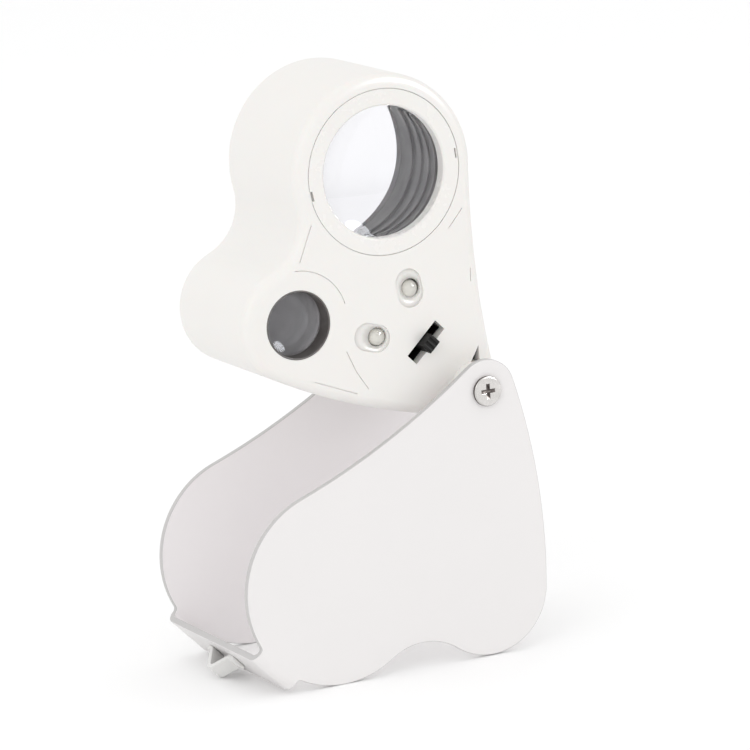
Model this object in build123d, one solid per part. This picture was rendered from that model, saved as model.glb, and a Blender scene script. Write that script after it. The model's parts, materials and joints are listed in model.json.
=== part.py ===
from build123d import *
from math import atan2, cos, degrees, hypot, pi, radians, sin, sqrt
import os

# A folding illuminated loupe.  X runs to the right, Y away from the front, Z up, in millimetres.
# Everything is drawn round the hinge pin, which is the origin of the drawing, and is moved at the
# end so that the cover stands on Z = 0 with the middle of its foot print on the origin.

# Cover: one bent sheet, two plates joined by a bridge at the far end.
SHEET = 1.0                    # thickness of the cover sheet
COVER_EAR_R = 5.0              # round the hinge pin
COVER_GROWTH = 0.35            # how much further out the cover's large lobe lies and reaches
COVER_SMALL_R = 10.3           # the cover's small lobe
COVER_SMALL_DIST = 32.35       # hinge pin to the middle of the cover's small lobe
COVER_SMALL_ANGLE = 267.2
COVER_WAVE_R = 10.0            # hollow between the two lobes
COVER_DIAGONAL_R = 120.0       # hollow long edge
SIDE_R = 100.0                 # crowned side of the cover and of the head
BRIDGE_BACK, BRIDGE_FRONT = 3.8, 4.3     # how far the bridge reaches to each side of its middle
BRIDGE_GAP = 1.45              # free space between the closed head and the bridge
BEND_R, BEND_OUT_R = 0.9, 1.7  # inside and outside radius of the two bends
TAB_CORNER_R = 0.8             # where the lobes run into the bridge tabs

# Lanyard loop on the outside of the bridge.
LOOP_STRIP = 0.75              # thickness of its strip
LOOP_WIDTH = 2.8               # width of its strip
LOOP_SPAN = 6.4                # between the two feet
LOOP_FOOT = 1.1                # length of each foot
LOOP_RISE = 2.9                # height above the bridge
LOOP_FOOT_R, LOOP_TOP_R = 0.7, 1.1       # its bends, on the middle of the strip
LOOP_PEAK = 0.55               # what the bend at the top takes off the sharp corner's height

# Lens head: where things are, as distance and angle round the hinge pin, with the head open.
CLOSED_ANGLE = 113.8           # how far the head turns to close
LARGE_DIST, LARGE_ANGLE = 38.5, 110.2
SMALL_DIST, SMALL_ANGLE = 32.95, 154.4
HEAD_DEPTH = 24.4
FACE_GAP = 3.3                 # from each face of the head to the plate beside it
HEAD_EAR_R = 4.7
LARGE_MARGIN = 2.4             # from the bezel's edge to the outside of the large lobe
SMALL_MARGIN = 3.3             # from the small lens's edge to the outside of the small lobe
HEAD_WAVE_R = 8.5
HEAD_EDGE_R = 150.0            # hollow long edge of the head
HEAD_WALL = 1.6
FRONT_WALL = 1.8
FRONT_ROUND = 1.7              # rounding of the front edge
REAR_ROUND = 0.6
LID_THICK = 1.8
LID_GAP = 0.08                 # between the lid and the wall round it

# Hinge.
PLAY = 0.3                     # between the head's bosses and each plate
BOSS_R = 4.0                   # hinge boss on each face of the head
SCREW_R = 1.0                  # M2 hinge screw
PIN_CLEARANCE = 0.05           # screw in the plate's hole, on the radius
SCREW_HEAD_R, SCREW_HEAD_T = 2.4, 0.6
SCREW_LIFT = 0.03              # under the screw's head
SCREW_LENGTH = 6.0
BUSH_R, BUSH_LENGTH = 2.0, 5.5
HINGE_POST = 6.5               # depth of the solid ear behind the front face
WASHER_R, WASHER_T = 3.6, 0.25

# Large lens.
LARGE_LENS_R = 11.0
LARGE_LIP = 0.6                # how far the bezel reaches over the lens
LARGE_EYE_LIP = 0.5            # how far the eye cup reaches over the rear lens
CUP_DEPTH = 4.3                # from the rim of the eye cup down to the rear lens
CUP_LAP = 0.5                  # how far the cup reaches beyond the tube that it stands on
CUP_STEP = 0.3                 # the cup narrows by this where it comes out of the lid
CUP_RIM, CUP_ROUND = 0.6, 0.25     # thickness of its rim, and the rounding inside it
BEZEL_LAND, BEZEL_T = 2.0, 2.0     # the bezel's width outside the lens, and its thickness
BEZEL_GROOVE = 0.14            # line between the bezel and the front wall
BEZEL_NOTCH, BEZEL_STEP_W, BEZEL_STEP_T = 0.45, 1.6, 0.8   # two steps cut in the bezel's edge
BEZEL_CHAMFER = 0.25           # at its opening
BEZEL_STEPS = (6, 190)         # where the steps are
LARGE_LENS_EDGE = 2.2
LARGE_FRONT_CROWN = 1.3
LARGE_REAR_CROWN = 0.9
TUBE_WALL = 1.2                # of the two lens tubes inside the head
EYE_RISE = 1.6                 # the eye cup and the eye ring stand this far out of the lid
EYE_CHAMFER = 0.7              # dish of the small eye ring

# Small lens.
SMALL_LENS_R = 6.0
SMALL_LIP = 0.55
SMALL_EYE_LIP = 1.1
SNOUT_WALL = 0.25              # black bush that lines the hole in the front wall
SNOUT_SHOULDER = 1.3           # its shoulder, between the front wall and the lens
SMALL_LENS_EDGE = 1.8
SMALL_CROWN = 0.9

# Stop rings turned inside both barrels.
BARREL_SLIP = 0.03             # lenses and barrels in their tube, on the radius
BARREL_WALL = 0.55
BAFFLE_RISE, BAFFLE_T = 0.3, 1.2
LARGE_BAFFLES, SMALL_BAFFLES = 3, 3

# Light: two 3 mm lamps, circuit board, slide switch, three button cells.
LED_R, LED_LENGTH = 1.5, 4.6
LED_FLANGE_R, LED_FLANGE_T = 1.85, 0.9
LED_SINK = 0.5                 # tip of the lamp below the front face
LED_TILT = 14.0
LED_LARGE = (-9.4, 16.2)       # foot of the lamp of the large lens
LED_SMALL = (-15.0, 9.9)       # foot of the lamp of the small lens
POCKET_LARGE = (-10.2, 17.3)   # middle of the pocket each lamp looks out of
POCKET_SMALL = (-17.2, 10.4)
POCKET_W, POCKET_L = 4.5, 6.3
BOARD_MID = (-10.5, 12.0)
BOARD_W, BOARD_H, BOARD_T, BOARD_CORNER_R = 16.0, 15.0, 1.0, 1.0
BOARD_SCREWS = ((-17.0, 17.8), (-4.3, 6.6))
BOARD_SCREW_R, BOARD_SCREW_HEAD_R, BOARD_SCREW_HEAD_T = 0.7, 1.3, 0.6
BOARD_SCREW_PLAY = 0.1         # screws in the board, on the radius
BOARD_POST_R, BOARD_POST_FLOOR = 1.4, 0.5   # posts under the board, and the floor of their holes
SWITCH_MID, SWITCH_ANGLE = (-7.9, 8.3), 43.4
SLOT_SPARE, SLOT_SIDE = 0.5, 0.15        # slot beyond the thumb piece, at its ends and sides
SWITCH_L, SWITCH_W, SWITCH_T = 9.0, 4.2, 3.7
SWITCH_WALL = 0.6              # sides and floor of the switch's case
SLIDER_L, SLIDER_W = 2.4, 1.9
SLIDER_RIB = 0.25              # grooves and broken edges of the thumb piece
SLIDER_RISE = 1.9              # out of the front face
SLIDER_TRAVEL = 1.9            # each way from the middle
SLIDER_PLAY = 0.06
SWITCH_PLAY = 0.3              # free space in the case at each end of the travel
CELL_R, CELL_T, CELLS = 5.8, 3.05, 3
CELL_MID = (-11.0, 14.2)
CELL_PLAY = 0.2
CELL_CAP_T, CELL_CAP_IN, CELL_ROUND = 0.5, 1.0, 0.3   # its narrower cap, and the can's rounding
BAY_WALL = 1.0
DOOR_T, DOOR_CORNER_R = 1.2, 2.0
RIBS, RIB_PITCH, RIB_W, RIB_DEPTH = 4, 1.4, 0.5, 0.3   # finger grooves in the door
RIB_END, RIB_SIDE = 2.4, 2.5             # from the door's end and from its sides
DOOR_RIM, DOOR_TONGUE = 0.9, 1.3         # door beyond the bay, above and below, and at its end
DOOR_END = 2.3                           # door beyond its screw
DOOR_GAP = 0.12
DOOR_WALL = 0.7                # from the door's top corner to the wall of the head
DOOR_POST, DOOR_SCREW_GRIP = 4.0, 3.0    # post under the door's screw, and its hole
SPRING_WIRE_R = 0.25
SPRING_R = 3.2
SPRING_TURNS, SPRING_CONE = 3, -8         # the wire narrows towards the cells
CONTACT_IN, CONTACT_HOLE_R = 1.5, 1.2    # contact strip inside the cell's edge, and its hole
LEAD, LEAD_PITCH, LEAD_PLAY = 0.45, 2.54, 0.15       # square leads of the lamps, and their holes
LEAD_FRONT, LEAD_REAR = 1.5, 0.8         # how far they stand out of the board on each side

# Screws that hold the lid, the door and the board.
LID_SCREW_LENGTH = 4.5         # below the head
DOOR_SCREW_LENGTH = 2.8
BOARD_SCREW_LENGTH = 4.0
DOOR_RECESS = 0.7              # for the head of the door screw
LID_SCREW_GRIP = 5.0           # depth of the screw's hole in its post
LID_SCREW_EDGE, LID_SCREW_ABOVE = 4.65, 2.7          # upper screw: from the long edge, above the door
LID_SCREW_SIDE = (-25.0, 24.9)                       # screw between the two lobes
LID_SCREW_BESIDE, LID_SCREW_BELOW = 2.4, 1.7         # lower screw: from the door's corner
SMALL_SCREW_R, SMALL_SCREW_HEAD_R, SMALL_SCREW_HEAD_T = 0.85, 1.6, 0.9
POST_R = 1.9
CROSS_W, CROSS_REACH = 0.26, 0.52        # cross slot, as shares of the screw head's radius
PAN_ROUND, PAN_SLOT, FLAT_SLOT = 0.45, 0.75, 0.6     # as shares of the head's thickness
RECESS_DEPTH = 2.0             # three-cornered pocket beside the hinge
RECESS = ((1.3, 6.5), (-0.4, 3.7), (1.4, 3.5))
PANEL_LINE_W, PANEL_LINE_DEPTH = 0.14, 0.2
PANEL_LINES = (((-26.4, 29.5), (-28.8, 23.9)), ((-27.6, 4.9), (-20.4, 1.95)), ((-21.8, 8.9), (-20.3, 5.4)),
               ((-20.3, 5.4), (-18.4, 2.4)), ((-0.1, 28.7), (-2.7, 25.8)), ((0.72, 19.0), (0.6, 16.9)))
PANEL_ARC_R, PANEL_ARC = 8.5, (15, 90)            # round the small lens

# Worked out from the above.
FACE = HEAD_DEPTH / 2
PLATE_IN = FACE + FACE_GAP
PLATE_OUT = PLATE_IN + SHEET
BOSS_FACE = PLATE_IN - PLAY
LID_IN = FACE - LID_THICK
FRONT_IN = -FACE + FRONT_WALL
LARGE_VIEW_R = LARGE_LENS_R - LARGE_LIP
LARGE_EYE_R = LARGE_LENS_R - LARGE_EYE_LIP
SMALL_VIEW_R = SMALL_LENS_R - SMALL_LIP
SMALL_EYE_R = SMALL_LENS_R - SMALL_EYE_LIP
BEZEL_R = LARGE_LENS_R + BEZEL_LAND
HEAD_LARGE_R = BEZEL_R + LARGE_MARGIN
HEAD_SMALL_R = SMALL_LENS_R + SMALL_MARGIN
COVER_LARGE_DIST = LARGE_DIST + COVER_GROWTH
COVER_LARGE_R = HEAD_LARGE_R + COVER_GROWTH
COVER_LARGE_ANGLE = LARGE_ANGLE + CLOSED_ANGLE
BRIDGE_IN = LARGE_DIST + HEAD_LARGE_R + BRIDGE_GAP
BRIDGE_OUT = BRIDGE_IN + SHEET
LARGE_TUBE_R = LARGE_LENS_R + TUBE_WALL
SMALL_TUBE_R = SMALL_LENS_R + TUBE_WALL
LARGE_CUP_R = LARGE_TUBE_R + CUP_LAP
EYE_FACE = FACE + EYE_RISE
CUP_SEAT = EYE_FACE - CUP_DEPTH


def polar(distance, angle):
    return (distance * cos(radians(angle)), distance * sin(radians(angle)))


def slab(outline, y_from, y_to):
    """The flat outline, drawn in X and Z, made solid between two depths."""
    placed = Plane((0, y_from, 0), x_dir=(1, 0, 0), z_dir=(0, -1, 0)) * outline
    return extrude(placed, amount=y_to - y_from, dir=(0, 1, 0))


def rod(mid, radius, y_from, y_to):
    return slab(Pos(*mid) * Circle(radius), y_from, y_to)


def ring(mid, outer, inner, y_from, y_to):
    return rod(mid, outer, y_from, y_to) - rod(mid, inner, y_from, y_to)


def arc(mid, start, end, counterclockwise):
    a0 = atan2(start[1] - mid[1], start[0] - mid[0])
    a1 = atan2(end[1] - mid[1], end[0] - mid[0])
    if counterclockwise and a1 < a0:
        a1 += 2 * pi
    if not counterclockwise and a1 > a0:
        a1 -= 2 * pi
    r, half = hypot(start[0] - mid[0], start[1] - mid[1]), (a0 + a1) / 2
    return ThreePointArc(start, (mid[0] + r * cos(half), mid[1] + r * sin(half)), end)


def joining_arc(one, two, radius, hollow):
    """Middle of the arc that runs smoothly from circle one to circle two, and its two ends.
    A hollow arc touches them from outside the shape, a crowned one goes round them."""
    (x1, y1, r1), (x2, y2, r2) = one, two
    reach1, reach2 = (radius + r1, radius + r2) if hollow else (radius - r1, radius - r2)
    span = hypot(x2 - x1, y2 - y1)
    ux, uy = (x2 - x1) / span, (y2 - y1) / span
    along = (reach1**2 - reach2**2 + span**2) / (2 * span)
    aside = sqrt(reach1**2 - along**2) * (-1 if hollow else 1)
    mid = (x1 + along * ux - aside * uy, y1 + along * uy + aside * ux)
    ends = []
    for x, y, r in (one, two):
        away = hypot(mid[0] - x, mid[1] - y) * (1 if hollow else -1)
        ends.append((x + r * (mid[0] - x) / away, y + r * (mid[1] - y) / away))
    return mid, ends


def two_lobed(ear_r, large, small, edge_r, wave_r, side_r, inset=0.0):
    """Outline of the cover plates and of the head: an ear round the hinge pin, a large lobe and
    a small lobe, joined by a hollow long edge, a hollow wave and a crowned side."""
    ear = (0, 0, ear_r - inset)
    large = (*large[:2], large[2] - inset)
    small = (*small[:2], small[2] - inset)
    runs = [(ear, large, edge_r + inset, True), (large, small, wave_r + inset, True),
            (small, ear, side_r - inset, False)]
    joins = [joining_arc(*run) for run in runs]
    edges = []
    for k, (one, two, radius, hollow) in enumerate(runs):
        mid, (start, end) = joins[k]
        edges.append(arc(mid, start, end, not hollow))
        edges.append(arc(two[:2], end, joins[(k + 1) % 3][1][0], True))
    return make_face(edges)


LARGE, SMALL = polar(LARGE_DIST, LARGE_ANGLE), polar(SMALL_DIST, SMALL_ANGLE)


def long_edge(height):
    """X of the head's hollow long edge at this height above the hinge pin."""
    mid, _ = joining_arc((0, 0, HEAD_EAR_R), (*LARGE, HEAD_LARGE_R), HEAD_EDGE_R, True)
    return mid[0] - sqrt(HEAD_EDGE_R**2 - (height - mid[1])**2)


def cover_outline():
    return two_lobed(COVER_EAR_R, (*polar(COVER_LARGE_DIST, COVER_LARGE_ANGLE), COVER_LARGE_R),
                     (*polar(COVER_SMALL_DIST, COVER_SMALL_ANGLE), COVER_SMALL_R),
                     COVER_DIAGONAL_R, COVER_WAVE_R, SIDE_R)


def head_outline(inset=0.0):
    return two_lobed(HEAD_EAR_R, (*LARGE, HEAD_LARGE_R), (*SMALL, HEAD_SMALL_R),
                     HEAD_EDGE_R, HEAD_WAVE_R, SIDE_R, inset)


def on_bridge(outline):
    """A flat outline whose X runs outwards from the hinge pin to the bridge and whose Y runs
    along the bridge, laid in the plane of the plates."""
    return Rot(0, 0, COVER_LARGE_ANGLE) * outline


def cover_shell():
    tab_start = COVER_LARGE_DIST
    tab_mid = (BRIDGE_FRONT - BRIDGE_BACK) / 2
    tab = Pos((tab_start + BRIDGE_OUT) / 2, tab_mid) * Rectangle(
        BRIDGE_OUT - tab_start, BRIDGE_BACK + BRIDGE_FRONT)
    plate = cover_outline() + on_bridge(tab)
    corners = [v for v in plate.vertices() if is_tab_corner(v)]
    plate = fillet(corners, TAB_CORNER_R)
    bent = slab(plate, -PLATE_OUT, PLATE_OUT)
    hollow = slab(Rectangle(4 * BRIDGE_OUT, 4 * BRIDGE_OUT), -PLATE_IN, PLATE_IN)
    beyond = slab(on_bridge(Pos(BRIDGE_IN + BRIDGE_OUT, 0) * Rectangle(
        2 * BRIDGE_OUT, 4 * BRIDGE_OUT)), -PLATE_IN, PLATE_IN)
    inner = hollow - beyond
    inner = fillet(bend_edges(inner, BRIDGE_IN), BEND_R)
    shell = bent - inner
    shell = fillet(bend_edges(shell, BRIDGE_OUT), BEND_OUT_R)
    for side in (-1, 1):
        shell -= rod((0, 0), SCREW_R + PIN_CLEARANCE, side * PLATE_IN - 2 * SHEET,
                     side * PLATE_IN + 2 * SHEET)
    return shell


def outward(point):
    """Distance of a point from the hinge pin, measured towards the bridge."""
    a = radians(COVER_LARGE_ANGLE)
    return point[0] * cos(a) + point[1] * sin(a)


def is_tab_corner(vertex):
    """Where the two straight sides of the tab leave the round lobe."""
    reach = outward((vertex.X, vertex.Y))
    a = radians(COVER_LARGE_ANGLE)
    along = -vertex.X * sin(a) + vertex.Y * cos(a)
    beside = min(abs(along + BRIDGE_BACK), abs(along - BRIDGE_FRONT))
    return beside < 0.01 and COVER_LARGE_DIST + 1 < reach < BRIDGE_OUT - 0.1


def bend_edges(solid, reach):
    """Edges of the solid that lie along a bend, at this distance from the hinge pin."""
    found = []
    for edge in solid.edges():
        mid = edge.position_at(0.5)
        ends = [edge.position_at(t) for t in (0, 1)]
        level = max(abs(outward((p.X, p.Z)) - reach) for p in (mid, *ends))
        if level < 0.01 and abs(ends[0].Y - ends[1].Y) < 0.01:
            found.append(edge)
    return found


def lanyard_loop():
    """A strip bent into an arch across the bridge: the sketch's X is the depth, its Y the height."""
    half, rise, t = LOOP_SPAN / 2, LOOP_RISE, LOOP_STRIP
    path = FilletPolyline((-half - LOOP_FOOT, 0), (-half, 0), (0, rise - t / 2 + LOOP_PEAK), (half, 0),
                          (half + LOOP_FOOT, 0), radius=[LOOP_FOOT_R, LOOP_TOP_R, LOOP_FOOT_R])
    strip = make_face(offset(path, amount=t / 2, side=Side.BOTH))
    a = radians(COVER_LARGE_ANGLE)
    out, along = Vector(cos(a), 0, sin(a)), Vector(-sin(a), 0, cos(a))
    seat = out * (BRIDGE_OUT + t / 2) - along * (LOOP_WIDTH / 2 - (BRIDGE_FRONT - BRIDGE_BACK) / 2)
    plane = Plane(origin=seat, x_dir=(0, 1, 0), z_dir=Vector(0, 1, 0).cross(out))
    arch = extrude(plane * strip, amount=LOOP_WIDTH)
    return arch if plane.z_dir.dot(along) > 0 else arch.moved(Location(along * LOOP_WIDTH))


def toward(start, end):
    return degrees(atan2(end[1] - start[1], end[0] - start[0]))


def slot(mid, length, width, angle):
    return Pos(*mid) * Rot(0, 0, angle) * SlotOverall(length, width)


def block(mid, length, width, angle):
    return Pos(*mid) * Rot(0, 0, angle) * Rectangle(length, width)


LARGE_POCKET_ANGLE = toward(POCKET_LARGE, LARGE)
SMALL_POCKET_ANGLE = toward(POCKET_SMALL, SMALL)
BOARD_FRONT = FRONT_IN + SWITCH_T
BOARD_REAR = BOARD_FRONT + BOARD_T
BEZEL_SEAT = -FACE + BEZEL_T
SMALL_SEAT = FRONT_IN + SNOUT_SHOULDER            # the small front lens sits behind the bush
CELL_REAR = FACE - DOOR_T - CELL_PLAY
CELL_FRONT = CELL_REAR - CELLS * CELL_T
BAY_R = CELL_R + CELL_PLAY
SLOT_W = SLIDER_W + 2 * SLOT_SIDE
SLOT_L = SLIDER_L + 2 * (SLIDER_TRAVEL + SLOT_SPARE)
DOOR_H = 2 * (BAY_R + DOOR_RIM)
DOOR_LOW, DOOR_HIGH = CELL_MID[1] - DOOR_H / 2, CELL_MID[1] + DOOR_H / 2
DOOR_LEFT = CELL_MID[0] - BAY_R - DOOR_TONGUE
DOOR_RIGHT = long_edge(DOOR_HIGH) - HEAD_WALL - DOOR_WALL
DOOR_W, DOOR_MID = DOOR_RIGHT - DOOR_LEFT, ((DOOR_LEFT + DOOR_RIGHT) / 2, CELL_MID[1])
DOOR_SCREW = (DOOR_RIGHT - DOOR_END, CELL_MID[1])
LID_SCREW_TOP = DOOR_HIGH + LID_SCREW_ABOVE
LID_SCREWS = ((long_edge(LID_SCREW_TOP) - LID_SCREW_EDGE, LID_SCREW_TOP), LID_SCREW_SIDE,
              (DOOR_LEFT - LID_SCREW_BESIDE, DOOR_LOW - LID_SCREW_BELOW))


def housing():
    """Front moulding: face, outer wall, two lens tubes, hinge boss, posts."""
    body = slab(head_outline(), -FACE, FACE)
    body = fillet(edges_at(body, -FACE), FRONT_ROUND)
    body = fillet(edges_at(body, FACE), REAR_ROUND)
    body -= slab(head_outline(HEAD_WALL), FRONT_IN, FACE + 1)
    body += rod(LARGE, LARGE_TUBE_R, FRONT_IN, CUP_SEAT)
    body += rod(LARGE, BEZEL_R + TUBE_WALL, FRONT_IN, BEZEL_SEAT + TUBE_WALL)
    body += rod(SMALL, SMALL_TUBE_R, FRONT_IN, LID_IN)
    body += rod((0, 0), HEAD_EAR_R - REAR_ROUND, FRONT_IN, -FACE + HINGE_POST)
    body += rod((0, 0), BOSS_R, -BOSS_FACE, -FACE + FRONT_WALL)
    for mid in LID_SCREWS:
        body += rod(mid, POST_R, FRONT_IN, LID_IN)
    for mid in BOARD_SCREWS:
        body += rod(mid, BOARD_POST_R, FRONT_IN, BOARD_FRONT)
    body -= rod(LARGE, LARGE_LENS_R + BARREL_SLIP, -FACE - 1, FACE)
    body -= rod(LARGE, BEZEL_R + BEZEL_GROOVE, -FACE - 1, BEZEL_SEAT)
    body -= rod(SMALL, SMALL_LENS_R + BARREL_SLIP, FRONT_IN, FACE)
    body -= rod(SMALL, SMALL_VIEW_R + BARREL_SLIP, -FACE - 1, FRONT_IN + 1)
    body -= rod((0, 0), BUSH_R, -BOSS_FACE - 1, BUSH_LENGTH - BOSS_FACE)
    for mid in LID_SCREWS:
        body -= rod(mid, SMALL_SCREW_R, LID_IN - LID_SCREW_GRIP, FACE)
    for mid in BOARD_SCREWS:
        body -= rod(mid, BOARD_SCREW_R, FRONT_IN + BOARD_POST_FLOOR, FACE)
    body -= slab(slot(POCKET_LARGE, POCKET_L, POCKET_W, LARGE_POCKET_ANGLE), -FACE - 1, FRONT_IN + 1)
    body -= slab(slot(POCKET_SMALL, POCKET_L, POCKET_W, SMALL_POCKET_ANGLE), -FACE - 1, FRONT_IN + 1)
    body -= slab(block(SWITCH_MID, SLOT_L, SLOT_W, SWITCH_ANGLE), -FACE - 1, FRONT_IN + 1)
    recess = slab(Polygon(*RECESS, align=None), -FACE - 1, -FACE + RECESS_DEPTH)
    body -= recess - rod((0, 0), BOSS_R, -BOSS_FACE, -FACE + RECESS_DEPTH)
    for start, end in PANEL_LINES:
        mid = ((start[0] + end[0]) / 2, (start[1] + end[1]) / 2)
        length = hypot(end[0] - start[0], end[1] - start[1])
        line = block(mid, length, PANEL_LINE_W, toward(start, end))
        body -= slab(line, -FACE - 1, -FACE + PANEL_LINE_DEPTH)
    band = Circle(PANEL_ARC_R + PANEL_LINE_W / 2) - Circle(PANEL_ARC_R - PANEL_LINE_W / 2)
    far = 2 * PANEL_ARC_R
    wedge = Polygon((0, 0), *[polar(far, a) for a in (PANEL_ARC[0], sum(PANEL_ARC) / 2, PANEL_ARC[1])],
                    align=None)
    body -= slab(Pos(*SMALL) * (band & wedge), -FACE - 1, -FACE + PANEL_LINE_DEPTH)
    return body


def rear_cover():
    """Lid: closes the rear of the housing and carries the rear boss and the battery bay."""
    lid = slab(head_outline(HEAD_WALL + LID_GAP), LID_IN, FACE)
    lid += rod(SMALL, SMALL_TUBE_R, LID_IN, EYE_FACE)
    lid += rod((0, 0), BOSS_R, FACE, BOSS_FACE)
    lid += rod(CELL_MID, BAY_R + BAY_WALL, CELL_FRONT - BAY_WALL, FACE)
    lid += rod(DOOR_SCREW, POST_R, FACE - DOOR_T - DOOR_POST, FACE)
    lid -= rod(LARGE, LARGE_CUP_R + LID_GAP, LID_IN - 1, FACE + 1)
    lid -= rod(SMALL, SMALL_LENS_R + BARREL_SLIP, LID_IN - 1, EYE_FACE + 1)
    lid -= rod(CELL_MID, BAY_R, CELL_FRONT, FACE + 1)
    lid -= rod(CELL_MID, SPRING_R + 2 * SPRING_WIRE_R, CELL_FRONT - 2 * BAY_WALL, CELL_FRONT + 1)
    lid -= slab(door_outline(DOOR_GAP), FACE - DOOR_T, FACE + 1)
    lid -= rod(DOOR_SCREW, SMALL_SCREW_R, FACE - DOOR_T - DOOR_SCREW_GRIP, FACE)
    lid -= rod((0, 0), BUSH_R, BOSS_FACE - BUSH_LENGTH, BOSS_FACE + 1)
    for mid in LID_SCREWS:
        lid -= rod(mid, SMALL_SCREW_R, LID_IN - 1, FACE + 1)
        lid -= rod(mid, SMALL_SCREW_HEAD_R + LID_GAP, FACE - SMALL_SCREW_HEAD_T, FACE + 1)
    return lid


def door_outline(growth=0.0):
    return Pos(*DOOR_MID) * RectangleRounded(DOOR_W + 2 * growth, DOOR_H + 2 * growth,
                                             DOOR_CORNER_R + growth)


def battery_door():
    door = slab(door_outline(), FACE - DOOR_T, FACE)
    for k in range(RIBS):
        mid = (DOOR_LEFT + RIB_END + RIB_PITCH * k, DOOR_MID[1])
        groove = Pos(*mid) * Rectangle(RIB_W, DOOR_H - 2 * RIB_SIDE)
        door -= slab(groove, FACE - RIB_DEPTH, FACE + 1)
    door -= rod(DOOR_SCREW, SMALL_SCREW_R, FACE - DOOR_T, FACE + 1)
    return door - rod(DOOR_SCREW, SMALL_SCREW_HEAD_R + LID_GAP, FACE - DOOR_RECESS, FACE + 1)


def edges_at(solid, level):
    """Edges that lie in the plane of this depth."""
    return [e for e in solid.edges() if all(abs(e.position_at(t).Y - level) < 0.01 for t in (0, 0.5, 1))]


def cross_recess(mid, radius, depth, face, inward):
    """Cross slot of a screw head whose outer face lies at this depth."""
    wide, long = CROSS_W * radius, 2 * CROSS_REACH * radius
    cross = Pos(*mid) * (Rectangle(long, wide) + Rectangle(wide, long))
    return slab(cross, min(face, face + inward * depth), max(face, face + inward * depth))


def screw(mid, shank_r, head_r, head_t, seat, length, outwards):
    """Pan screw: the head stands on the seat and points outwards, the shank runs the other way."""
    top = seat + outwards * head_t
    head = rod(mid, head_r, min(seat, top), max(seat, top))
    head = fillet(edges_at(head, top), PAN_ROUND * head_t)
    tip = seat - outwards * length
    body = head + rod(mid, shank_r, min(seat, tip), max(seat, tip))
    return body - cross_recess(mid, head_r, PAN_SLOT * head_t, top, -outwards)


def flat_screw(mid, seat, length, head_t):
    body = rod(mid, SMALL_SCREW_HEAD_R, seat, seat + head_t) + rod(mid, SMALL_SCREW_R, seat - length, seat)
    return body - cross_recess(mid, SMALL_SCREW_HEAD_R, FLAT_SLOT * head_t, seat + head_t, -1)


def pivot_screws():
    seat = PLATE_OUT + SCREW_LIFT
    return Compound([screw((0, 0), SCREW_R, SCREW_HEAD_R, SCREW_HEAD_T, side * seat, SCREW_LENGTH, side)
                     for side in (-1, 1)])


def hinge_bushes():
    """Threaded brass inserts, one moulded into each hinge boss."""
    spans = ((-BOSS_FACE, BUSH_LENGTH - BOSS_FACE), (BOSS_FACE - BUSH_LENGTH, BOSS_FACE))
    return Compound([ring((0, 0), BUSH_R, SCREW_R, start, end) for start, end in spans])


def hinge_washers():
    spans = ((-BOSS_FACE - WASHER_T, -BOSS_FACE), (BOSS_FACE, BOSS_FACE + WASHER_T))
    return Compound([ring((0, 0), WASHER_R, SCREW_R + PIN_CLEARANCE, start, end) for start, end in spans])


def large_lens_bezel():
    """White ring flush with the face, with a step cut in its edge on each side."""
    bezel = ring(LARGE, BEZEL_R, LARGE_VIEW_R, -FACE, BEZEL_SEAT)
    for angle in BEZEL_STEPS:
        step = Pos(*LARGE) * Rot(0, 0, angle) * Pos(BEZEL_R, 0) * Rectangle(2 * BEZEL_NOTCH, BEZEL_STEP_W)
        bezel -= slab(step, -FACE - 1, -FACE + BEZEL_STEP_T)
    lip = [e for e in bezel.edges() if e.geom_type == GeomType.CIRCLE
           and abs(e.radius - LARGE_VIEW_R) < 0.01 and abs(e.position_at(0).Y + FACE) < 0.01]
    return chamfer(lip, BEZEL_CHAMFER)


def small_lens_bush():
    """Black bush: its snout lines the hole in the front wall, its shoulder holds the front lens."""
    bush = rod(SMALL, SMALL_VIEW_R, -FACE, SMALL_SEAT) + rod(SMALL, SMALL_LENS_R, FRONT_IN, SMALL_SEAT)
    return bush - rod(SMALL, SMALL_VIEW_R - SNOUT_WALL, -FACE - 1, SMALL_SEAT + 1)


def crown_at(radius, lens_r, crown):
    """Height of a lens's crown above its edge, at this radius."""
    ball_r = (lens_r**2 + crown**2) / (2 * crown)
    return sqrt(ball_r**2 - radius**2) - (ball_r - crown)


def lens(mid, radius, edge, crowns, y_edge):
    """Round lens: a straight edge that starts at this depth, with a crown in front and behind."""
    front, rear = y_edge, y_edge + edge
    half = radius / 2
    profile = make_face([
        ThreePointArc((0, front - crowns[0]), (half, front - crown_at(half, radius, crowns[0])),
                      (radius, front)),
        Line((radius, front), (radius, rear)),
        ThreePointArc((radius, rear), (half, rear + crown_at(half, radius, crowns[1])),
                      (0, rear + crowns[1])),
        Line((0, rear + crowns[1]), (0, front - crowns[0]))])
    return revolve(profile, Axis.Y).moved(Location((mid[0], 0, mid[1])))


def barrel(mid, outer, y_from, y_to, baffles):
    """Blackened tube between the front and the rear lens, with stop rings turned inside it.
    Only the inner edge of each end bears on a lens."""
    inner = outer - BARREL_WALL
    tube = ring(mid, outer, inner, y_from, y_to)
    pitch = (y_to - y_from) / (baffles + 1)
    for k in range(baffles):
        at = y_from + (k + 1) * pitch - BAFFLE_T / 2
        tube += ring(mid, outer, inner - BAFFLE_RISE, at, at + BAFFLE_T)
    return tube


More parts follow.
